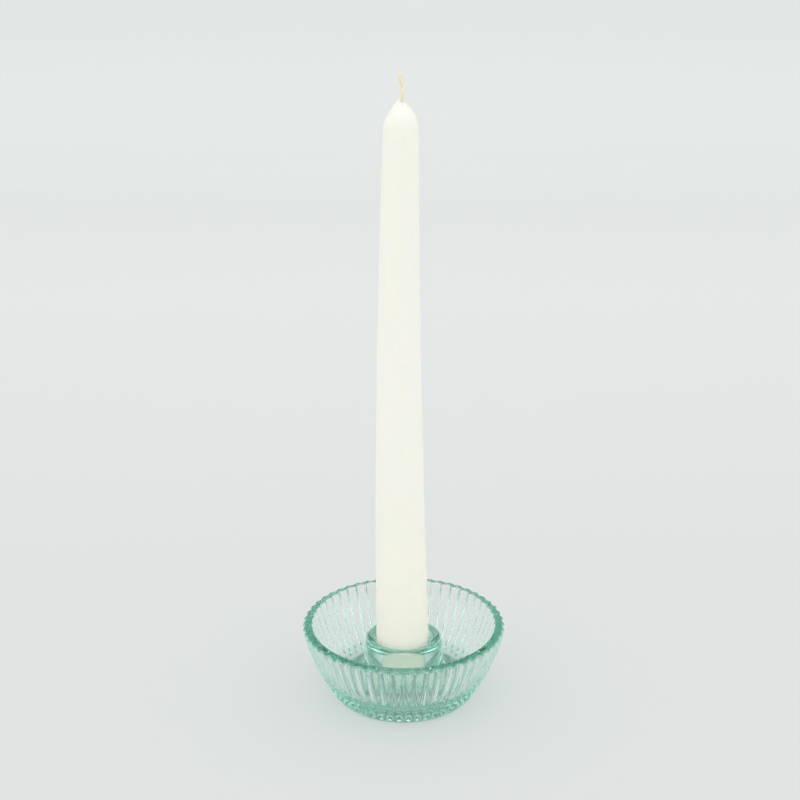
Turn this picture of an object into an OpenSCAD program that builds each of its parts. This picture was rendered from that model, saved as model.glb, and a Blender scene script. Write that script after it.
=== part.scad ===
// Fluted pressed-glass candle holder with a raised socket in the middle of a
// shallow bowl, holding one tapered candle with its cotton wick.
// Millimetres, +Z up, origin under the middle of the foot.

/* [Bowl] */
// Width over the ridges at the rim
rim_diameter = 91; // [76:0.5:130]
// Height from the table to the rim
bowl_height = 33; // [28:0.5:60]
// Width of the flat that the foot stands on
foot_diameter = 57.2; // [50:0.2:66]
// Radius that turns the wall under to the foot
foot_round = 5; // [2:0.1:6]
// Glass at the rim, from the ridges to the inner edge
rim_width = 4.8; // [4:0.1:6]
// Radius of the soft outer edge of the rim, which follows the flutes
rim_round = 1.3; // [0.8:0.1:1.5]
// Radius of the soft inner edge of the rim
rim_edge_round = 0.8; // [0.3:0.1:1]
// Glass under the bowl's floor
floor_thickness = 6.5; // [4:0.1:9]
// Width of the flat part of the bowl's floor
floor_diameter = 52; // [44:0.5:58]
// Width of the shallow hollow under the foot
recess_diameter = 48; // [30:0.5:52]
// Depth of the hollow under the foot
recess_depth = 0.8; // [0.3:0.1:1.5]

/* [Flutes] */
// Number of concave flutes round the outside
flute_count = 53; // [30:1:60]
// Depth of a flute on the wall, from the ridges
flute_depth = 1.7; // [0.6:0.05:1.9]
// Depth of a flute at the rim, where it runs out shallower
flute_depth_rim = 1; // [0.4:0.05:1.3]

/* [Socket] */
// Outer width of the socket at its lip
socket_diameter = 34.4; // [32:0.1:37]
// How much wider the socket is where it meets the floor
socket_draft = 1.6; // [0:0.1:3]
// Height of the socket's lip above the table
socket_height = 26.2; // [20:0.1:28]
// Glass under the candle
socket_floor_thickness = 8; // [5:0.1:12]
// Radius where the socket meets the bowl's floor
socket_foot_round = 2; // [0.5:0.1:3]

/* [Candle] */
// Width of the candle's foot, cut down to stand in the socket
candle_foot_diameter = 19.3; // [16:0.1:20.5]
// Width of the candle just above its foot
candle_base_diameter = 23.6; // [21:0.1:25]
// Height over which the candle widens from its foot
candle_shoulder_height = 2.2; // [1:0.1:4]
// Width of the candle where its tip begins
candle_top_diameter = 14; // [10:0.1:18]
// How far the candle's sides bulge past a straight taper, half way up
candle_belly = 0.3; // [0:0.05:0.6]
// Length of the wax
candle_length = 252; // [120:1:320]
// Length of the rounded tip
candle_tip_length = 11; // [7:0.5:14]
// Radius of the edge at the candle's foot
candle_foot_round = 0.6; // [0.2:0.1:1.5]
// Gap all round between the candle's foot and the socket
candle_clearance = 0.35; // [0.3:0.05:1]

/* [Wick] */
// Thickness of the wick in the wax
wick_diameter = 1.4; // [1:0.1:2]
// Straight wick that shows above the wax
wick_stem = 4.6; // [3:0.1:8]
// Thickness of the strand that makes the loop
loop_strand_diameter = 1.2; // [0.8:0.1:1.4]
// Outer width of the loop
loop_width = 3.7; // [3:0.1:5]
// Outer height of the loop
loop_height = 5.9; // [5:0.1:9]

/* [Hidden] */
// Bowl, worked out
rim_radius = rim_diameter / 2;
foot_radius = foot_diameter / 2;
floor_radius = floor_diameter / 2;
recess_radius = recess_diameter / 2;
inner_rim_radius = rim_radius - rim_width;

// Where the outer wall's curve bends, as shares of the way from foot to rim and of the height
wall_bend_out_share = 0.826;
wall_bend_up_share = 0.514;
// The flutes fade in over this share of the height, and grow shallow from the next one up
flute_fade_share = 0.2;
flute_shallow_share = 0.6;
// Where the inner wall's curve bends, at the floor, as a share of the way from floor to rim
inner_bend_out_share = 0.53;

// Candle and socket, worked out: the bore follows the candle's foot and shoulder at the clearance
candle_foot_radius = candle_foot_diameter / 2;
candle_base_radius = candle_base_diameter / 2;
candle_top_radius = candle_top_diameter / 2;
socket_radius = socket_diameter / 2;
socket_base_radius = socket_radius + socket_draft / 2;
bore_radius = candle_foot_radius + candle_clearance;
mouth_radius = candle_base_radius + candle_clearance;
lip_round = (socket_radius - mouth_radius) / 2;
lip_centre = [mouth_radius + lip_round, socket_height - lip_round];
shoulder_high = [candle_base_radius, lip_centre[1] + candle_clearance];
shoulder_low = [candle_foot_radius, shoulder_high[1] - candle_shoulder_height];
flare_low = [bore_radius, shoulder_low[1] - candle_clearance];
flare_high = [mouth_radius, lip_centre[1]];

// Candle's tip, worked out
wax_top = socket_floor_thickness + candle_length;
wick_radius = wick_diameter / 2;
// The tip's curve leaves the taper at this share of the tip's length
tip_crown_share = 0.54;
// Flat left round the wick at the tip, as a share of the wick's radius
tip_flat_share = 0.4;

// Wick loop, worked out
strand_radius = loop_strand_diameter / 2;
loop_radius = loop_width / 2 - strand_radius;
loop_leg = loop_height - loop_width;
loop_base = wax_top + wick_stem;
loop_low_centre = loop_base + loop_width / 2;
loop_high_centre = loop_low_centre + loop_leg;

// Places along the curves, as shares of their turn or their length
foot_ring_shares = [0, 0.35, 0.7];
wall_ring_shares = [0, 0.1, 0.2, 0.34, 0.5, 0.66, 0.83, 1];
rim_ring_shares = [0.25, 0.5, 0.75, 1];
points_per_flute = 6;
curve_steps = 12;
edge_steps = 4;

// One overrun for every cut
overrun = 1;
$fn = 96;

function mix(a, b, share) = a + (b - a) * share;
function bend(a, b, c, share) = mix(mix(a, b, share), mix(b, c, share), share);
function arc(centre, radius, from_angle, to_angle, steps) =
    [for (i = [0 : steps])
        centre + radius * [cos(mix(from_angle, to_angle, i / steps)), sin(mix(from_angle, to_angle, i / steps))]];

// Outer wall along a ridge: it leaves the foot's round in a straight line towards the bend
foot_centre = [foot_radius, foot_round];
wall_bend = [mix(foot_radius, rim_radius, wall_bend_out_share), bowl_height * wall_bend_up_share];
to_bend = wall_bend - foot_centre;
foot_end_angle = atan2(to_bend[1], to_bend[0]) - acos(foot_round / norm(to_bend));
wall_low = foot_centre + foot_round * [cos(foot_end_angle), sin(foot_end_angle)];
wall_high = [rim_radius, bowl_height - rim_round];

// Each ring as radius over the ridges, height, and how far the rim's round draws it in
ridge_line = concat(
    [for (s = foot_ring_shares)
        let (angle = mix(-90, foot_end_angle, s))
        [foot_radius + foot_round * cos(angle), foot_round * (1 + sin(angle)), 0]],
    [for (s = wall_ring_shares) [each bend(wall_low, wall_bend, wall_high, s), 0]],
    [for (s = rim_ring_shares)
        [rim_radius, wall_high[1] + rim_round * sin(90 * s), rim_round * (1 - cos(90 * s))]]);

// The flutes fade out softly towards the foot and grow shallow towards the rim
function ease(share) = share * share * (3 - 2 * share);
function fade(height) = ease(min(1, height / bowl_height / flute_fade_share));
function shallowing(height) =
    pow(max(0, height / bowl_height - flute_shallow_share) / (1 - flute_shallow_share), 2);
function flute_cut(height, share) =
    mix(flute_depth, flute_depth_rim, shallowing(height)) * 4 * share * (1 - share) * fade(height);
function outer_radius(ridge, share) = ridge[0] - flute_cut(ridge[1], share) - ridge[2];

module fluted_body() {
    count = flute_count * points_per_flute;
    last = len(ridge_line) - 1;
    rings = [for (ridge = ridge_line) for (i = [0 : count - 1])
        let (share = (i % points_per_flute) / points_per_flute,
             radius = outer_radius(ridge, share),
             angle = 360 * i / count - 90)
        [radius * cos(angle), radius * sin(angle), ridge[1]]];
    low_middle = len(rings);
    high_middle = low_middle + 1;
    sides = [for (k = [0 : last - 1]) for (i = [0 : count - 1])
        let (j = (i + 1) % count, a = k * count + i, b = k * count + j, c = a + count, d = b + count)
        each [[a, c, b], [b, c, d]]];
    under = [for (i = [0 : count - 1]) [low_middle, i, (i + 1) % count]];
    top = [for (i = [0 : count - 1]) [high_middle, last * count + (i + 1) % count, last * count + i]];
    polyhedron(
        points = concat(rings, [[0, 0, 0], [0, 0, bowl_height]]),
        faces = concat(sides, under, top));
}

// Inside of the bowl, from the axis out to the rim and up past it
inner_low = [floor_radius, floor_thickness];
inner_high = [inner_rim_radius, bowl_height - rim_edge_round];
inner_bend = [mix(floor_radius, inner_rim_radius, inner_bend_out_share), floor_thickness];

module bowl_inside_outline() {
    polygon(concat(
        [[0, floor_thickness]],
        [for (i = [0 : curve_steps]) bend(inner_low, inner_bend, inner_high, i / curve_steps)],
        arc(inner_high + [rim_edge_round, 0], rim_edge_round, 180, 90, edge_steps),
        [[inner_rim_radius + rim_edge_round, bowl_height + overrun], [0, bowl_height + overrun]]));
}

module socket_outline() {
    foot_corner = [socket_base_radius + socket_foot_round, floor_thickness + socket_foot_round];
    polygon(concat(
        [[0, floor_thickness - overrun], [0, lip_centre[1]], [socket_radius, lip_centre[1]]],
        arc(foot_corner, socket_foot_round, 180, 270, edge_steps),
        [[foot_corner[0], floor_thickness - overrun]]));
    translate(lip_centre) circle(r = lip_round);
}

module cavity_outline() {
    difference() {
        bowl_inside_outline();
        socket_outline();
    }
    polygon([
        [0, socket_floor_thickness], [bore_radius, socket_floor_thickness],
        flare_low, flare_high, [0, lip_centre[1]]]);
}

module glass_holder() {
    color("lightseagreen")
    difference() {
        fluted_body();
        rotate_extrude() cavity_outline();
        // Shallow hollow under the foot
        translate([0, 0, -overrun]) cylinder(r = recess_radius, h = overrun + recess_depth);
    }
}

// Half outline of the wax, from its foot to the tip
module wax_outline() {
    tip_low = [candle_top_radius, wax_top - candle_tip_length];
    tip_crown = [candle_top_radius, wax_top - candle_tip_length * (1 - tip_crown_share)];
    tip_high = [wick_radius * (1 + tip_flat_share), wax_top];
    edge_centre = [candle_foot_radius - candle_foot_round, socket_floor_thickness + candle_foot_round];
    side_bend = mix(shoulder_high, tip_low, 0.5) + [2 * candle_belly, 0];
    polygon(concat(
        [[wick_radius, socket_floor_thickness]],
        arc(edge_centre, candle_foot_round, -90, 0, edge_steps),
        [shoulder_low],
        [for (i = [0 : curve_steps - 1]) bend(shoulder_high, side_bend, tip_low, i / curve_steps)],
        [for (i = [0 : curve_steps]) bend(tip_low, tip_crown, tip_high, i / curve_steps)],
        [[wick_radius, wax_top]]));
}

module candle_wax() {
    color("ivory") rotate_extrude() wax_outline();
}

// Half a turn of the loop, bulging up
module loop_bow() {
    rotate([90, 0, 0])
        rotate_extrude(angle = 180)
            translate([loop_radius, 0]) circle(r = strand_radius);
}

module wick() {
    color("goldenrod") {
        translate([0, 0, socket_floor_thickness])
            cylinder(r = wick_radius, h = loop_base + strand_radius - socket_floor_thickness);
        translate([0, 0, loop_high_centre]) loop_bow();
        translate([0, 0, loop_low_centre]) mirror([0, 0, 1]) loop_bow();
        for (side = [-1, 1])
            translate([side * loop_radius, 0, loop_low_centre]) cylinder(r = strand_radius, h = loop_leg);
    }
}

glass_holder();
candle_wax();
wick();
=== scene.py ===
# Fluted glass candle holder with a lift-out taper candle, on a pale seamless sweep
import math

import bpy
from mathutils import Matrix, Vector, noise


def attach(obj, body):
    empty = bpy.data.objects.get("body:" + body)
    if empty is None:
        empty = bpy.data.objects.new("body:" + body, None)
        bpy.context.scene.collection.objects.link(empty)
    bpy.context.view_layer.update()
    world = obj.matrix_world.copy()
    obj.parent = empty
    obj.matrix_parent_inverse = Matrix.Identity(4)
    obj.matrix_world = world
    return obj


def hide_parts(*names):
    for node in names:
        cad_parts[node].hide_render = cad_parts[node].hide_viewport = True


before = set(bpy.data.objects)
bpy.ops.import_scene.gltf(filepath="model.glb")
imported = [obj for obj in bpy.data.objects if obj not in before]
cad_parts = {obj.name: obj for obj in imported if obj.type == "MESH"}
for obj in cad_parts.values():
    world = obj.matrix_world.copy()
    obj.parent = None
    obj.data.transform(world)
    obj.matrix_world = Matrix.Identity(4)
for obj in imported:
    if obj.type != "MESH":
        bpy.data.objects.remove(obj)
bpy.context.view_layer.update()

MM = 0.001

# Camera, from the photograph: focal length and shift in pixels of an 800 pixel frame
FRAME_PX = 800
FOCAL_PX = 1178.7
AXIS_SHIFT_PX = 3.6
PITCH_DEG = 17.3
CAMERA_BACK = 476.5 * MM
CAMERA_UP = 285.4 * MM
SENSOR_WIDTH = 36

# Glass holder, in millimetres, after the CAD part
RIM_RADIUS = 45.5
BOWL_HEIGHT = 33.0
FOOT_RADIUS = 28.6
FOOT_ROUND = 5.0
RIM_WIDTH = 4.8
RIM_ROUND = 1.3
RIM_EDGE_ROUND = 0.8
FLOOR_THICKNESS = 6.5
FLOOR_RADIUS = 26.0
RECESS_RADIUS = 24.0
RECESS_DEPTH = 0.8
RECESS_ROUND = 0.5
RECESS_RING_SHARES = (0.25, 0.6, 0.85, 1)
WALL_BEND_OUT_SHARE = 0.826
WALL_BEND_UP_SHARE = 0.514
INNER_BEND_OUT_SHARE = 0.53
SOCKET_RADIUS = 17.2
SOCKET_BASE_RADIUS = 18.0
SOCKET_HEIGHT = 26.2
SOCKET_FLOOR = 8.0
SOCKET_FOOT_ROUND = 2.0
SOCKET_FLOOR_SHARES = (0.6, 0.25)
BORE_RADIUS = 10.0
BORE_ROUND = 0.8
MOUTH_RADIUS = 12.15

# Flutes: they fade in over the first share of the height, and grow shallow from the next one up
FLUTES = 53
FLUTE_DEPTH = 1.7
FLUTE_DEPTH_RIM = 1.0
FLUTE_FADE_SHARE = 0.2
FLUTE_SHALLOW_SHARE = 0.6
# Rounding of a ridge: its width as a share of the flute, and the share of that by which it is raised
RIDGE_SOFT_SHARE = 0.08
RIDGE_RAISE_SHARE = 0.4
# Places across a flute at which its curve is cut, closest together near the ridges
FLUTE_SHARES = (0, 0.03, 0.08, 0.16, 0.26, 0.38, 0.5, 0.62, 0.74, 0.84, 0.92, 0.97)

# Steps in which the curves of the glass are cut
FOOT_STEPS = 12
WALL_STEPS = 36
RIM_STEPS = 10
INNER_STEPS = 30
ROUND_STEPS = 7
SOCKET_STEPS = 8
LIP_STEPS = 18
FLARE_STEPS = 6
BORE_STEPS = 5
CORNER_STEPS = 3

# Look of the glass: its colour and how strongly it absorbs, and the faint ripple of the mould
GLASS_COLOUR = (0.6375, 0.875, 0.81)
GLASS_DENSITY = 40
GLASS_IOR = 1.52
GLASS_FACE_DULL = (0.99, 0.996, 0.994)
GLASS_FACE_CLEAR = (0.998, 1.0, 0.999)
LIGHT_BOUNCES = 40
# What light for matt surfaces keeps at each face of the glass: in general, and as painted shadow in a
# ring at the edge of the hollow under the foot and close to the table
THROUGH_COLOUR = (0.955, 0.965, 0.96)
PAINTED_RING_SHADOW_COLOUR = (0.1, 0.27, 0.24)
PAINTED_CONTACT_SHADOW_COLOUR = (0.35, 0.56, 0.52)
# Where that painted shadow sets in and where it is full, in millimetres: heights, and radii on each side
# of the ring
CONTACT_SHADOW_HEIGHTS = (0.7, 0)
RING_SHADOW_HEIGHTS = (1.0, 0.9)
RING_SHADOW_INSIDE = (19.6, 20.8)
RING_SHADOW_OUTSIDE = (24.2, 23.4)

# Sweep, in metres: a wide floor that curves up behind the object into a low backdrop
SWEEP_REACH = 6.0
SWEEP_BACK = 2.0
SWEEP_CURVE = 0.3
SWEEP_TOP = 0.42
SWEEP_CURVE_STEPS = 24
FLOOR_LINES = (-0.4, 0.0, 0.5, 1.3)
# Level of the paper at shares of its length, counted back from the object and up the backdrop: painted
# light, darkest in front and paler behind
PAPER_LENGTH = 2.5
PAPER_TINT = (0.967, 1.0, 1.0)
PAPER_PAINTED_LIGHT_LEVELS = (
    (0.0, 0.752), (0.06, 0.757), (0.134, 0.778), (0.336, 0.815),
    (0.6, 0.835), (0.68, 0.86), (0.78, 0.815), (0.92, 0.81),
)
PAPER_MOTTLE_SHARE = 0.012

# What the glass sees of the room: where each part sets in, where it is full, and how bright
CEILING = (0.45, 1.05, 2.6)
CEILING_LEAN = 0.35
SIDE_WALLS = (0.55, 0.9, 1.1)
ROOM_DARK = 0.04
# Light that the matt surfaces get from level with them and from overhead
ROOM_LEVEL = (1.4, 0.74)
ROOM_SEEN = 0.8
ROOM_TINT = (1.0, 1.0, 0.985)

# Lamp, in metres and watts
LAMP_PLACE = (-0.05, -0.2, 1.5)
LAMP_TARGET = (0, 0, 0.1)
LAMP_SIZE = (1.2, 1.2)
LAMP_POWER = 2

# Candle, in millimetres, after the CAD part
WAX_FOOT_RADIUS = 9.65
WAX_FOOT_ROUND = 0.6
WAX_BASE_RADIUS = 11.8
WAX_SHOULDER_HEIGHT = 2.2
WAX_CLEARANCE = 0.35
WAX_TOP_RADIUS = 7.0
WAX_BELLY = 0.3
WAX_TOP = 260.0
WAX_TIP_LENGTH = 11.0
WAX_CROWN_SHARE = 0.46
WAX_POINT_RADIUS = 1.15
WAX_SIDES = 96
WAX_SIDE_STEPS = 60
WAX_TIP_STEPS = 22
WAX_CORNER_STEPS = 4
WAX_FOOT_SHARES = (0.34, 0.67, 0.94)
WAX_SHOULDER_SHARES = (0.04, 0.35, 0.65, 0.96)
# Underneath: the small hollow round the end of the wick, and a ring of points on the flat
WICK_HOLE_RADIUS = 0.74
WICK_HOLE_DEPTH = 0.6
WAX_FLAT_RADIUS = 6
# Radius and depth below the tip of the hollow that the wick comes out of
TIP_HOLLOW = ((0.86, 0.15), (0.72, 0.7), (0.6, 1.6))
TIP_HOLLOW_DEPTH = 1.8
# Small waves in the wax, from about the rim's height up: share of the radius, spacing round and along it
WAVE_SHARE = 0.006
WAVE_AROUND = 1.6
WAVE_LENGTH = 34
WAVE_START = 30
WAVE_RISE = 20
# Over its last stretch the tip is drawn up on the left, and lowered at the front and the back
POINT_LENGTH = 4.0
POINT_LEFT = 1.25
POINT_RIGHT = 0.35
POINT_DROP = 0.35
POINT_UNEVEN = 0.12
POINT_UNEVEN_AROUND = 3
POINT_UNEVEN_PLACE = 7.3
# The taper is a little bowed: its axis runs off to the left and comes half way back
BOW_OUT = 6.6
BOW_BACK = 5.72
BOW_SPAN = 250.0

# Look of the wax: heights in metres, and its colour, with painted light, at shares of the way between
# them
WAX_HEIGHTS = (0.02, 0.25)
# Creamier towards the foot is the wax's tint; the paler foot, inside the socket, and the slightly darker
# tip are painted light
WAX_TINT_AND_PAINTED_LIGHT = (
    (0.0, (1.0, 0.955, 0.82)), (0.35, (0.91, 0.905, 0.835)),
    (0.6, (0.905, 0.9, 0.85)), (1.0, (0.885, 0.885, 0.83)),
)
WAX_CLOUD_SHARE = 0.16

# Wick, in millimetres: each strand is a row of points x, y, z and radius, before the taper is bowed.
# The first runs from just above the socket's floor up through the wax and over the loop, the other
# back down.
WICK_BASE = SOCKET_FLOOR + 0.03
WICK_MAIN = (
    (-0.05, 0, WICK_BASE, 0.68), (-0.05, 0, 90, 0.68), (-0.05, 0, 180, 0.68), (-0.05, 0, 250, 0.66),
    (0.12, 0.05, 258.6, 0.55), (0.36, -0.25, 260.6, 0.56), (0.5, -0.2, 262.4, 0.56),
    (0.42, 0.12, 263.9, 0.56), (0.08, 0.1, 265.6, 0.6), (-0.55, -0.05, 267.4, 0.66),
    (-0.98, -0.1, 268.8, 0.62), (-0.75, -0.02, 269.65, 0.52), (-0.15, 0.05, 269.9, 0.42),
)
WICK_RETURN = (
    (-0.3, 0.05, 269.9, 0.4), (0.45, 0.05, 269.7, 0.36), (1.0, 0.02, 268.9, 0.34),
    (1.15, 0, 267.6, 0.32), (1.0, 0, 266.6, 0.34), (0.75, -0.12, 265.6, 0.38),
    (0.45, -0.3, 264.6, 0.42), (0.3, 0.1, 262.8, 0.44), (0.45, 0.3, 260.8, 0.44),
    (0.4, 0.1, 258.4, 0.44),
)
# Length of one turn of the twist in each strand
MAIN_TWIST = 2.6
RETURN_TWIST = 2.2
STRAND_STEPS = 10
STRAND_SIDES = 24
PLIES = 3
PLY_SHARE = 0.16
FUZZ_SHARE = 0.05
FUZZ_ALONG = 2.1
FUZZ_AROUND = 1.7
# The first strand is darker and more orange than the loop's end: the cotton's own colour, and painted
# shade on the loop's left leg
COTTON_AND_SHADE_DARK = (0.86, 0.73, 0.42)
COTTON_AND_SHADE_PALE = (0.93, 0.86, 0.62)
WAXED_DARK = (0.87, 0.84, 0.70)
WAXED_PALE = (0.91, 0.90, 0.80)
SOAKED_SHARE = 0.4


# Small geometry helpers

def mix(a, b, share):
    return a + (b - a) * share


def mix_points(a, b, share):
    return (mix(a[0], b[0], share), mix(a[1], b[1], share))


def bend(a, b, c, share):
    """A point on the quadratic curve from a to c that leaves and arrives towards b."""
    return mix_points(mix_points(a, b, share), mix_points(b, c, share), share)


def arc(centre, radius, start, stop, steps):
    turns = [math.radians(mix(start, stop, i / steps)) for i in range(steps + 1)]
    return [(centre[0] + radius * math.cos(t), centre[1] + radius * math.sin(t)) for t in turns]


def ease(share):
    return share * share * (3 - 2 * share)


def clamp(share):
    return max(0.0, min(1.0, share))


def add_object(name, verts, faces):
    mesh = bpy.data.meshes.new(name)
    mesh.from_pydata(verts, [], faces)
    mesh.shade_smooth()
    piece = bpy.data.objects.new(name, mesh)
    bpy.context.scene.collection.objects.link(piece)
    return piece


def revolve(name, rings):
    """A closed mesh from rings of points in millimetres; a ring of one point is a pole."""
    verts, starts = [], []
    for ring in rings:
        starts.append(len(verts))
        verts.extend((x * MM, y * MM, z * MM) for x, y, z in ring)
    faces = []
    for k in range(len(rings) - 1):
        low, high = len(rings[k]), len(rings[k + 1])
        count = max(low, high)
        for i in range(count):
            j = (i + 1) % count
            a = starts[k] + (i if low > 1 else 0)
            b = starts[k] + (j if low > 1 else 0)
            c = starts[k + 1] + (j if high > 1 else 0)
            d = starts[k + 1] + (i if high > 1 else 0)
            if low == 1:
                faces.append((a, c, d))
            elif high == 1:
                faces.append((a, b, c))
            else:
                faces.append((a, b, c, d))
    return add_object(name, verts, faces)


# Glass holder

def underside_line():
    """Radius and height from inside the hollow under the foot out to the ring that it stands on."""
    flat_radius = RECESS_RADIUS - RECESS_ROUND
    corner = (flat_radius, RECESS_DEPTH - RECESS_ROUND)
    line = [(flat_radius * share, RECESS_DEPTH) for share in RECESS_RING_SHARES]
    line.extend(arc(corner, RECESS_ROUND, 90, 0, CORNER_STEPS)[1:])
    line.append((RECESS_RADIUS, corner[1] / 2))
    line.append((RECESS_RADIUS + corner[1] / 2, 0))
    return line


def ridge_line():
    """The outer wall along a ridge, as radius, height and how far the rim's round draws it in."""
    centre = (FOOT_RADIUS, FOOT_ROUND)
    middle = (mix(FOOT_RADIUS, RIM_RADIUS, WALL_BEND_OUT_SHARE), BOWL_HEIGHT * WALL_BEND_UP_SHARE)
    across, up = middle[0] - centre[0], middle[1] - centre[1]
    foot_end = math.degrees(math.atan2(up, across) - math.acos(FOOT_ROUND / math.hypot(across, up)))
    foot = arc(centre, FOOT_ROUND, -90, foot_end, FOOT_STEPS)
    low, high = foot[-1], (RIM_RADIUS, BOWL_HEIGHT - RIM_ROUND)
    line = [(radius, height, 0) for radius, height in foot[:-1]]
    for i in range(WALL_STEPS + 1):
        line.append((*bend(low, middle, high, i / WALL_STEPS), 0))
    for i in range(1, RIM_STEPS + 1):
        t = math.radians(90 * i / RIM_STEPS)
        line.append((RIM_RADIUS, high[1] + RIM_ROUND * math.sin(t), RIM_ROUND * (1 - math.cos(t))))
    return line


def inside_line():
    """Radius and height from the rim's inner edge down the inside to the floor."""
    inner_rim = RIM_RADIUS - RIM_WIDTH
    edge_centre = (inner_rim + RIM_EDGE_ROUND, BOWL_HEIGHT - RIM_EDGE_ROUND)
    line = [(edge_centre[0] + RIM_EDGE_ROUND / 2, BOWL_HEIGHT)]
    line.extend(arc(edge_centre, RIM_EDGE_ROUND, 90, 180, ROUND_STEPS))
    high, low = (inner_rim, edge_centre[1]), (FLOOR_RADIUS, FLOOR_THICKNESS)
    middle = (mix(FLOOR_RADIUS, inner_rim, INNER_BEND_OUT_SHARE), FLOOR_THICKNESS)
    line.extend(bend(high, middle, low, i / INNER_STEPS) for i in range(1, INNER_STEPS + 1))
    return line


def socket_line():
    """Radius and height from the bowl's floor over the socket and down its bore."""
    foot_centre = (SOCKET_BASE_RADIUS + SOCKET_FOOT_ROUND, FLOOR_THICKNESS + SOCKET_FOOT_ROUND)
    line = [(mix(FLOOR_RADIUS, foot_centre[0], 0.5), FLOOR_THICKNESS)]
    line.extend(arc(foot_centre, SOCKET_FOOT_ROUND, 270, 180, ROUND_STEPS))
    lip_round = (SOCKET_RADIUS - MOUTH_RADIUS) / 2
    lip_centre = (MOUTH_RADIUS + lip_round, SOCKET_HEIGHT - lip_round)
    wall_foot = (SOCKET_BASE_RADIUS, foot_centre[1])
    wall_top = (SOCKET_RADIUS, lip_centre[1])
    line.extend(mix_points(wall_foot, wall_top, i / SOCKET_STEPS) for i in range(1, SOCKET_STEPS))
    line.extend(arc(lip_centre, lip_round, 0, 180, LIP_STEPS))

    # The flare is two bends that meet half way down it
    flare_high = (MOUTH_RADIUS, lip_centre[1])
    flare_low = (BORE_RADIUS, lip_centre[1] - WAX_SHOULDER_HEIGHT)
    flare_middle = mix_points(flare_high, flare_low, 0.5)
    high_bend = (MOUTH_RADIUS, flare_middle[1])
    low_bend = (BORE_RADIUS, flare_middle[1])
    flare_shares = [i / FLARE_STEPS for i in range(1, FLARE_STEPS + 1)]
    line.extend(bend(flare_high, high_bend, flare_middle, share) for share in flare_shares)
    line.extend(bend(flare_middle, low_bend, flare_low, share) for share in flare_shares)
    corner = (BORE_RADIUS - BORE_ROUND, SOCKET_FLOOR + BORE_ROUND)
    bore_low = (BORE_RADIUS, corner[1])
    line.extend(mix_points(flare_low, bore_low, i / BORE_STEPS) for i in range(1, BORE_STEPS + 1))
    line.extend(arc(corner, BORE_ROUND, 0, -90, CORNER_STEPS)[1:])
    line.extend((BORE_RADIUS * share, SOCKET_FLOOR) for share in SOCKET_FLOOR_SHARES)
    return line


def outer_radius(ridge, share):
    """Radius of the fluted wall; share runs from one ridge at 0 to the next at 1."""
    off_ridge = min(share, 1 - share)
    softened = math.sqrt(off_ridge ** 2 + RIDGE_SOFT_SHARE ** 2) - RIDGE_SOFT_SHARE * RIDGE_RAISE_SHARE
    up = ridge[1] / BOWL_HEIGHT
    fade = ease(clamp(up / FLUTE_FADE_SHARE))
    shallowing = max(0.0, (up - FLUTE_SHALLOW_SHARE) / (1 - FLUTE_SHALLOW_SHARE)) ** 2
    cut = mix(FLUTE_DEPTH, FLUTE_DEPTH_RIM, shallowing) * 4 * softened * (1 - softened) * fade
    return ridge[0] - cut - ridge[2]


def make_glass():
    turns = [math.radians(360 * (k + s) / FLUTES - 90) for k in range(FLUTES) for s in FLUTE_SHARES]
    round_shares = FLUTE_SHARES * FLUTES

    def plain(line):
        return [[(r * math.cos(t), r * math.sin(t), z) for t in turns] for r, z in line]

    rings = [[(0, 0, RECESS_DEPTH)]]
    rings.extend(plain(underside_line()))
    for ridge in ridge_line():
        ring = []
        for t, share in zip(turns, round_shares):
            radius = outer_radius(ridge, share)
            ring.append((radius * math.cos(t), radius * math.sin(t), ridge[1]))
        rings.append(ring)
    rings.extend(plain(inside_line()))
    rings.extend(plain(socket_line()))
    rings.append([(0, 0, SOCKET_FLOOR)])
    return revolve("glass_bowl", rings)


# Candle

def bowed(x, y, z):
    """The place of a point of the straight taper once the taper is bowed."""
    t = (z - SOCKET_FLOOR) / BOW_SPAN
    return (x - BOW_OUT * t + BOW_BACK * t * t, y, z)


def wax_line():
    """Radius and height from the hollow in the candle's foot up to the one at its tip."""
    line = [(WICK_HOLE_RADIUS, SOCKET_FLOOR + WICK_HOLE_DEPTH)]
    line.extend([(WICK_HOLE_RADIUS, SOCKET_FLOOR), (WAX_FLAT_RADIUS, SOCKET_FLOOR)])
    foot_centre = (WAX_FOOT_RADIUS - WAX_FOOT_ROUND, SOCKET_FLOOR + WAX_FOOT_ROUND)
    line.extend(arc(foot_centre, WAX_FOOT_ROUND, -90, 0, WAX_CORNER_STEPS))
    lip_height = SOCKET_HEIGHT - (SOCKET_RADIUS - MOUTH_RADIUS) / 2
    side_low = (WAX_BASE_RADIUS, lip_height + WAX_CLEARANCE)
    shoulder_low = (WAX_FOOT_RADIUS, side_low[1] - WAX_SHOULDER_HEIGHT)
    foot_high = (WAX_FOOT_RADIUS, foot_centre[1])
    line.extend(mix_points(foot_high, shoulder_low, share) for share in WAX_FOOT_SHARES)
    line.extend(mix_points(shoulder_low, side_low, share) for share in WAX_SHOULDER_SHARES)

    tip_low = (WAX_TOP_RADIUS, WAX_TOP - WAX_TIP_LENGTH)
    tip_crown = (WAX_TOP_RADIUS, WAX_TOP - WAX_TIP_LENGTH * WAX_CROWN_SHARE)
    tip_high = (WAX_POINT_RADIUS, WAX_TOP)
    halfway = mix_points(side_low, tip_low, 0.5)
    side_bend = (halfway[0] + 2 * WAX_BELLY, halfway[1])
    line.extend(bend(side_low, side_bend, tip_low, i / WAX_SIDE_STEPS) for i in range(1, WAX_SIDE_STEPS))
    line.extend(bend(tip_low, tip_crown, tip_high, i / WAX_TIP_STEPS) for i in range(WAX_TIP_STEPS + 1))
    line.extend((radius, WAX_TOP - depth) for radius, depth in TIP_HOLLOW)
    return line


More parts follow.
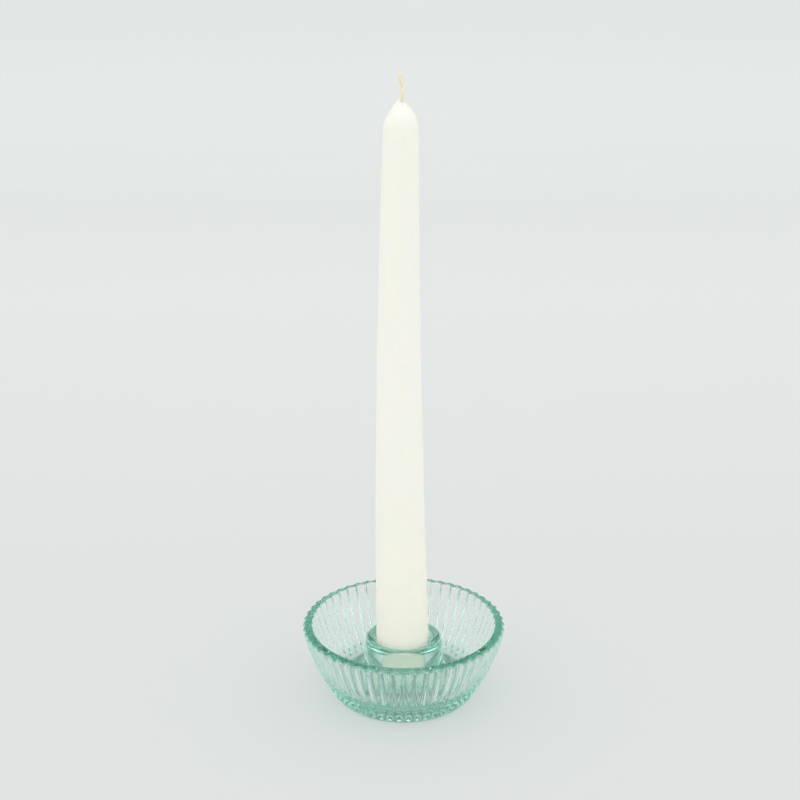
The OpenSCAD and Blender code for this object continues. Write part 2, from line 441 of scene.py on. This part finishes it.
def drip_lift(way, near_tip):
    """How far the drip point is drawn up on the side that way points to."""
    left = max(0.0, -way.x) ** 2
    right = max(0.0, way.x) ** 2
    around = way * POINT_UNEVEN_AROUND
    uneven = noise.noise(Vector((around.x, around.y, POINT_UNEVEN_PLACE)))
    lift = near_tip ** 2 * (POINT_LEFT * left + POINT_RIGHT * right - POINT_DROP)
    return lift + near_tip * POINT_UNEVEN * uneven


def make_wax():
    turns = [2 * math.pi * i / WAX_SIDES for i in range(WAX_SIDES)]
    rings = [[bowed(0, 0, SOCKET_FLOOR + WICK_HOLE_DEPTH)]]
    for radius, height in wax_line():
        near_tip = clamp((height - (WAX_TOP - POINT_LENGTH)) / POINT_LENGTH)
        in_free = clamp((height - WAVE_START) / WAVE_RISE)
        ring = []
        for t in turns:
            way = Vector((math.cos(t), math.sin(t), 0))
            wave = noise.noise(Vector((way.x * WAVE_AROUND, way.y * WAVE_AROUND, height / WAVE_LENGTH)))
            r = radius * (1 + WAVE_SHARE * wave * in_free)
            ring.append(bowed(r * way.x, r * way.y, height + drip_lift(way, near_tip)))
        rings.append(ring)
    rings.append([bowed(0, 0, WAX_TOP - TIP_HOLLOW_DEPTH)])
    return revolve("candle_taper", rings)


# Wick

def smooth_path(points, steps):
    """A Catmull-Rom curve through the points, as positions and radii."""
    path = []
    padded = [points[0], *points, points[-1]]
    for k in range(1, len(padded) - 2):
        p = [Vector(q) for q in padded[k - 1:k + 3]]
        for i in range(steps):
            t = i / steps
            path.append(0.5 * (
                2 * p[1] + (p[2] - p[0]) * t
                + (2 * p[0] - 5 * p[1] + 4 * p[2] - p[3]) * t * t
                + (3 * p[1] - p[0] - 3 * p[2] + p[3]) * t * t * t))
    path.append(Vector(points[-1]))
    return path


def make_strand(name, points, twist):
    """A twisted cotton strand along points of x, y, z and radius, in millimetres."""
    path = smooth_path(points, STRAND_STEPS)
    places = [Vector(p[:3]) for p in path]
    rings = []
    normal = Vector((0, 1, 0))
    travelled = 0.0
    for k, place in enumerate(places):
        ahead = places[min(k + 1, len(places) - 1)] - places[max(k - 1, 0)]
        ahead.normalize()
        normal = (normal - ahead * normal.dot(ahead)).normalized()
        side = ahead.cross(normal)
        if k:
            travelled += (place - places[k - 1]).length
        turn = 2 * math.pi * travelled / twist
        ring = []
        for i in range(STRAND_SIDES):
            a = 2 * math.pi * i / STRAND_SIDES
            lobe = 1 - PLY_SHARE + PLY_SHARE * math.cos(PLIES * (a - turn))
            grain = place * FUZZ_ALONG + Vector((math.cos(a), math.sin(a), 0)) * FUZZ_AROUND
            fuzz = 1 + FUZZ_SHARE * noise.noise(grain)
            out = normal * math.cos(a) + side * math.sin(a)
            ring.append(bowed(*(place + out * path[k][3] * lobe * fuzz)))
        rings.append(ring)
    rings.insert(0, [bowed(*places[0])])
    rings.append([bowed(*places[-1])])
    return revolve(name, rings)


# Material helpers

def new_material(name):
    material = bpy.data.materials.new(name)
    material.use_nodes = True
    nodes, links = material.node_tree.nodes, material.node_tree.links
    shader = nodes["Principled BSDF"]
    return material, nodes, links, shader


def set_inputs(node, values):
    for name, value in values.items():
        node.inputs[name].default_value = value


def add_noise(nodes, links, coords, scale, detail):
    node = nodes.new("ShaderNodeTexNoise")
    set_inputs(node, {"Scale": scale, "Detail": detail})
    links.new(coords, node.inputs["Vector"])
    return node.outputs["Fac"]


def add_ramp(nodes, links, factor, stops):
    """A colour ramp; stops are places and colours, at least two."""
    ramp = nodes.new("ShaderNodeValToRGB")
    elements = ramp.color_ramp.elements
    while len(elements) < len(stops):
        elements.new(0.5)
    for element, (place, colour) in zip(elements, stops):
        element.position = place
        element.color = (*colour, 1)
    links.new(factor, ramp.inputs["Fac"])
    return ramp.outputs["Color"]


def add_range(nodes, links, value, start, stop):
    """A node that runs from 0 at start to 1 at stop."""
    node = nodes.new("ShaderNodeMapRange")
    set_inputs(node, {"From Min": start, "From Max": stop})
    links.new(value, node.inputs["Value"])
    return node


def add_math(nodes, links, operation, *values):
    """A math node; each value is a number or another node's output."""
    node = nodes.new("ShaderNodeMath")
    node.operation = operation
    for socket, value in zip(node.inputs, values):
        if isinstance(value, (int, float)):
            socket.default_value = value
        else:
            links.new(value, socket)
    return node.outputs["Value"]


def add_vector_math(nodes, links, operation, vector, factors=None):
    node = nodes.new("ShaderNodeVectorMath")
    node.operation = operation
    links.new(vector, node.inputs[0])
    if factors:
        node.inputs[1].default_value = factors
    return node


def add_bump(nodes, links, shader, height, strength, distance):
    bump = nodes.new("ShaderNodeBump")
    set_inputs(bump, {"Strength": strength, "Distance": distance})
    links.new(height, bump.inputs["Height"])
    links.new(bump.outputs["Normal"], shader.inputs["Normal"])


# Materials

def shade_under_glass(nodes, links, coords):
    """Colour of the light that the glass lets through to matt surfaces, darker at its foot as painted
    shadow.
    """
    flat = add_vector_math(nodes, links, "MULTIPLY", coords, (1, 1, 0))
    radius = add_vector_math(nodes, links, "LENGTH", flat.outputs["Vector"]).outputs["Value"]
    split = nodes.new("ShaderNodeSeparateXYZ")
    links.new(coords, split.inputs["Vector"])
    height = split.outputs["Z"]

    # Painted shadow: hardly any light is let through at the edge of the hollow under the foot, which
    # leaves a dark ring there
    dark = None
    limits = ((height, RING_SHADOW_HEIGHTS), (radius, RING_SHADOW_INSIDE), (radius, RING_SHADOW_OUTSIDE))
    for value, (start, stop) in limits:
        part = add_range(nodes, links, value, start * MM, stop * MM)
        if dark:
            links.new(dark, part.inputs["To Max"])
        dark = part.outputs["Result"]
    shade = add_ramp(nodes, links, dark, [(0.0, THROUGH_COLOUR), (1.0, PAINTED_RING_SHADOW_COLOUR)])

    # Painted contact shadow: close to the table the light let through takes a darker colour
    start, stop = CONTACT_SHADOW_HEIGHTS
    contact_shadow = add_range(nodes, links, height, start * MM, stop * MM)
    contact_shadow_mix = nodes.new("ShaderNodeMix")
    contact_shadow_mix.data_type = "RGBA"
    links.new(contact_shadow.outputs["Result"], contact_shadow_mix.inputs["Factor"])
    # The colour sockets of this node, which share their names with its other kinds
    links.new(shade, contact_shadow_mix.inputs[6])
    contact_shadow_mix.inputs[7].default_value = (*PAINTED_CONTACT_SHADOW_COLOUR, 1)
    return contact_shadow_mix.outputs[2]


def glass_material():
    """Pressed glass: clear where thin, green along its length, with the faint ripple of a mould."""
    material, nodes, links, shader = new_material("tinted_pressed_glass")
    output = nodes["Material Output"]
    coords = nodes.new("ShaderNodeTexCoord").outputs["Object"]
    ripple = add_noise(nodes, links, coords, scale=120, detail=2)
    tint = add_ramp(nodes, links, ripple, [(0.3, GLASS_FACE_DULL), (0.7, GLASS_FACE_CLEAR)])
    links.new(tint, shader.inputs["Base Color"])
    add_bump(nodes, links, shader, ripple, strength=0.12, distance=0.0004)
    set_inputs(shader, {"Roughness": 0.0, "IOR": GLASS_IOR, "Transmission Weight": 1.0})

    # Light from the lamp and the room goes straight through to the candle and the table
    through = nodes.new("ShaderNodeBsdfTransparent")
    links.new(shade_under_glass(nodes, links, coords), through.inputs["Color"])
    path = nodes.new("ShaderNodeLightPath")
    shadow, diffuse = path.outputs["Is Shadow Ray"], path.outputs["Is Diffuse Ray"]
    pick = nodes.new("ShaderNodeMixShader")
    links.new(add_math(nodes, links, "MAXIMUM", shadow, diffuse), pick.inputs["Fac"])
    links.new(shader.outputs["BSDF"], pick.inputs[1])
    links.new(through.outputs["BSDF"], pick.inputs[2])
    links.new(pick.outputs["Shader"], output.inputs["Surface"])

    absorb = nodes.new("ShaderNodeVolumeAbsorption")
    set_inputs(absorb, {"Color": (*GLASS_COLOUR, 1), "Density": GLASS_DENSITY})
    links.new(absorb.outputs["Volume"], output.inputs["Volume"])
    return material


def wax_material():
    """Ivory candle wax, satin and slightly translucent, a touch creamier towards its foot, with painted
    light that pales its foot and darkens its tip a little.
    """
    material, nodes, links, shader = new_material("ivory_wax")
    coords = nodes.new("ShaderNodeTexCoord").outputs["Object"]
    split = nodes.new("ShaderNodeSeparateXYZ")
    links.new(coords, split.inputs["Vector"])
    height = add_range(nodes, links, split.outputs["Z"], *WAX_HEIGHTS).outputs["Result"]
    cloud = add_noise(nodes, links, coords, scale=60, detail=4)
    place = add_math(nodes, links, "MULTIPLY_ADD", cloud, WAX_CLOUD_SHARE, height)
    links.new(add_ramp(nodes, links, place, WAX_TINT_AND_PAINTED_LIGHT), shader.inputs["Base Color"])
    fine = add_noise(nodes, links, coords, scale=420, detail=3)
    add_bump(nodes, links, shader, fine, strength=0.1, distance=0.0003)
    rough = add_range(nodes, links, cloud, 0.0, 1.0)
    set_inputs(rough, {"To Min": 0.42, "To Max": 0.6})
    links.new(rough.outputs["Result"], shader.inputs["Roughness"])
    set_inputs(shader, {
        "Subsurface Weight": 0.6,
        "Subsurface Radius": (1.0, 0.85, 0.5),
        "Subsurface Scale": 0.009,
        "IOR": 1.44,
    })
    return material


def cotton_material(name, dark, pale):
    """Twisted cotton, with fine fibres along the strand and wax soaked in unevenly."""
    material, nodes, links, shader = new_material(name)
    coords = nodes.new("ShaderNodeTexCoord").outputs["Object"]
    fibres = add_noise(nodes, links, coords, scale=2400, detail=3)
    soaked = add_noise(nodes, links, coords, scale=320, detail=2)
    place = add_math(nodes, links, "MULTIPLY_ADD", fibres, SOAKED_SHARE, soaked)
    links.new(add_ramp(nodes, links, place, [(0.45, dark), (0.95, pale)]), shader.inputs["Base Color"])
    add_bump(nodes, links, shader, fibres, strength=0.5, distance=0.0001)
    set_inputs(shader, {"Roughness": 0.8, "Sheen Weight": 0.2})
    return material


def sweep_material():
    """Matt pale paper with a barely visible mottle, and painted light: darkest in front and paler behind
    the object.
    """
    material, nodes, links, shader = new_material("pale_sweep")
    coords = nodes.new("ShaderNodeTexCoord").outputs["Object"]
    mottle = add_noise(nodes, links, coords, scale=3, detail=3)
    per_metre = 1 / PAPER_LENGTH
    along = add_vector_math(nodes, links, "DOT_PRODUCT", coords, (0, per_metre, per_metre))
    place = add_math(nodes, links, "MULTIPLY_ADD", mottle, PAPER_MOTTLE_SHARE, along.outputs["Value"])
    stops = [(share, tuple(level * part for part in PAPER_TINT)) for share, level in PAPER_PAINTED_LIGHT_LEVELS]
    links.new(add_ramp(nodes, links, place, stops), shader.inputs["Base Color"])
    set_inputs(shader, {"Roughness": 0.9, "Specular IOR Level": 0.1})
    return material


# Stage, light and camera

def make_sweep():
    """A wide floor that curves up into a low backdrop."""
    line = [(-SWEEP_REACH, 0.0)]
    line.extend((y, 0.0) for y in FLOOR_LINES)
    line.extend(arc((SWEEP_BACK - SWEEP_CURVE, SWEEP_CURVE), SWEEP_CURVE, -90, 0, SWEEP_CURVE_STEPS))
    line.append((SWEEP_BACK, SWEEP_TOP))
    verts, faces = [], []
    for y, z in line:
        verts.extend([(-SWEEP_REACH, y, z), (SWEEP_REACH, y, z)])
    for k in range(len(line) - 1):
        a = 2 * k
        faces.append((a, a + 1, a + 3, a + 2))
    sweep = add_object("sweep", verts, faces)
    sweep.data.materials.append(sweep_material())


def room_part(nodes, links, value, start, stop, strength):
    """Light that sets in where value passes start and is at its full strength at stop."""
    part = add_range(nodes, links, value, start, stop)
    part.interpolation_type = "SMOOTHSTEP"
    part.inputs["To Max"].default_value = strength
    return part.outputs["Result"]


def make_world():
    """A soft room for the matt surfaces; glass sees one with a bright ceiling and a dark back."""
    world = bpy.data.worlds.new("soft_room")
    bpy.context.scene.world = world
    world.use_nodes = True
    nodes, links = world.node_tree.nodes, world.node_tree.links
    background = nodes["Background"]
    split = nodes.new("ShaderNodeSeparateXYZ")
    links.new(nodes.new("ShaderNodeTexCoord").outputs["Generated"], split.inputs["Vector"])
    across, back, up = (split.outputs[axis] for axis in "XYZ")

    # The room that the glass sees
    to_front = add_math(nodes, links, "MULTIPLY", back, -CEILING_LEAN)
    ceiling = room_part(nodes, links, add_math(nodes, links, "ADD", up, to_front), *CEILING)
    walls = room_part(nodes, links, add_math(nodes, links, "ABSOLUTE", across), *SIDE_WALLS)
    brightest = add_math(nodes, links, "MAXIMUM", ceiling, walls)
    room = add_math(nodes, links, "ADD", brightest, ROOM_DARK)

    # The soft one, and what the camera sees past the sweep
    soft = nodes.new("ShaderNodeMapRange")
    set_inputs(soft, {"To Min": ROOM_LEVEL[0], "To Max": ROOM_LEVEL[1]})
    links.new(up, soft.inputs["Value"])
    path = nodes.new("ShaderNodeLightPath")
    camera_ray = path.outputs["Is Camera Ray"]
    seen = nodes.new("ShaderNodeMix")
    links.new(camera_ray, seen.inputs["Factor"])
    links.new(soft.outputs["Result"], seen.inputs["A"])
    seen.inputs["B"].default_value = ROOM_SEEN

    glossy, clear = path.outputs["Is Glossy Ray"], path.outputs["Is Transmission Ray"]
    blend = nodes.new("ShaderNodeMix")
    links.new(add_math(nodes, links, "MAXIMUM", glossy, clear), blend.inputs["Factor"])
    links.new(seen.outputs["Result"], blend.inputs["A"])
    links.new(room, blend.inputs["B"])
    tint = add_ramp(nodes, links, camera_ray, [(0.0, ROOM_TINT), (1.0, PAPER_TINT)])
    links.new(tint, background.inputs["Color"])
    links.new(blend.outputs["Result"], background.inputs["Strength"])


def add_softbox(name, place, target, size, power):
    lamp = bpy.data.lights.new(name, "AREA")
    lamp.shape = "RECTANGLE"
    lamp.size, lamp.size_y = size
    lamp.energy = power
    lamp_object = bpy.data.objects.new(name, lamp)
    lamp_object.location = place
    aim = Vector(target) - Vector(place)
    lamp_object.rotation_mode = "QUATERNION"
    lamp_object.rotation_quaternion = aim.to_track_quat("-Z", "Y")
    bpy.context.scene.collection.objects.link(lamp_object)


def make_camera():
    camera = bpy.data.cameras.new("camera")
    camera.sensor_width = SENSOR_WIDTH
    camera.lens = FOCAL_PX / FRAME_PX * camera.sensor_width
    camera.shift_x = -AXIS_SHIFT_PX / FRAME_PX
    camera_object = bpy.data.objects.new("camera", camera)
    camera_object.location = (0, -CAMERA_BACK, CAMERA_UP)
    camera_object.rotation_euler = (math.radians(90 - PITCH_DEG), 0, 0)
    bpy.context.scene.collection.objects.link(camera_object)
    bpy.context.scene.camera = camera_object


glass = make_glass()
wax = make_wax()
strand = make_strand("wick_strand", WICK_MAIN, MAIN_TWIST)
loop_end = make_strand("wick_loop_end", WICK_RETURN, RETURN_TWIST)

glass.data.materials.append(glass_material())
wax.data.materials.append(wax_material())
strand.data.materials.append(cotton_material("natural_cotton_and_painted_shade", COTTON_AND_SHADE_DARK, COTTON_AND_SHADE_PALE))
loop_end.data.materials.append(cotton_material("waxed_cotton", WAXED_DARK, WAXED_PALE))

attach(glass, "holder")
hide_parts("glass_holder")
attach(wax, "candle")
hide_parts("candle_wax")
for piece in (strand, loop_end):
    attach(piece, "candle")
    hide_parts("wick")

make_sweep()
make_world()
add_softbox("softbox_top", LAMP_PLACE, LAMP_TARGET, LAMP_SIZE, LAMP_POWER)
make_camera()
scene = bpy.context.scene
scene.view_settings.view_transform = "Standard"
# Light runs a long way inside pressed glass before it leaves
scene.cycles.max_bounces = LIGHT_BOUNCES
scene.cycles.glossy_bounces = LIGHT_BOUNCES
scene.cycles.transmission_bounces = LIGHT_BOUNCES
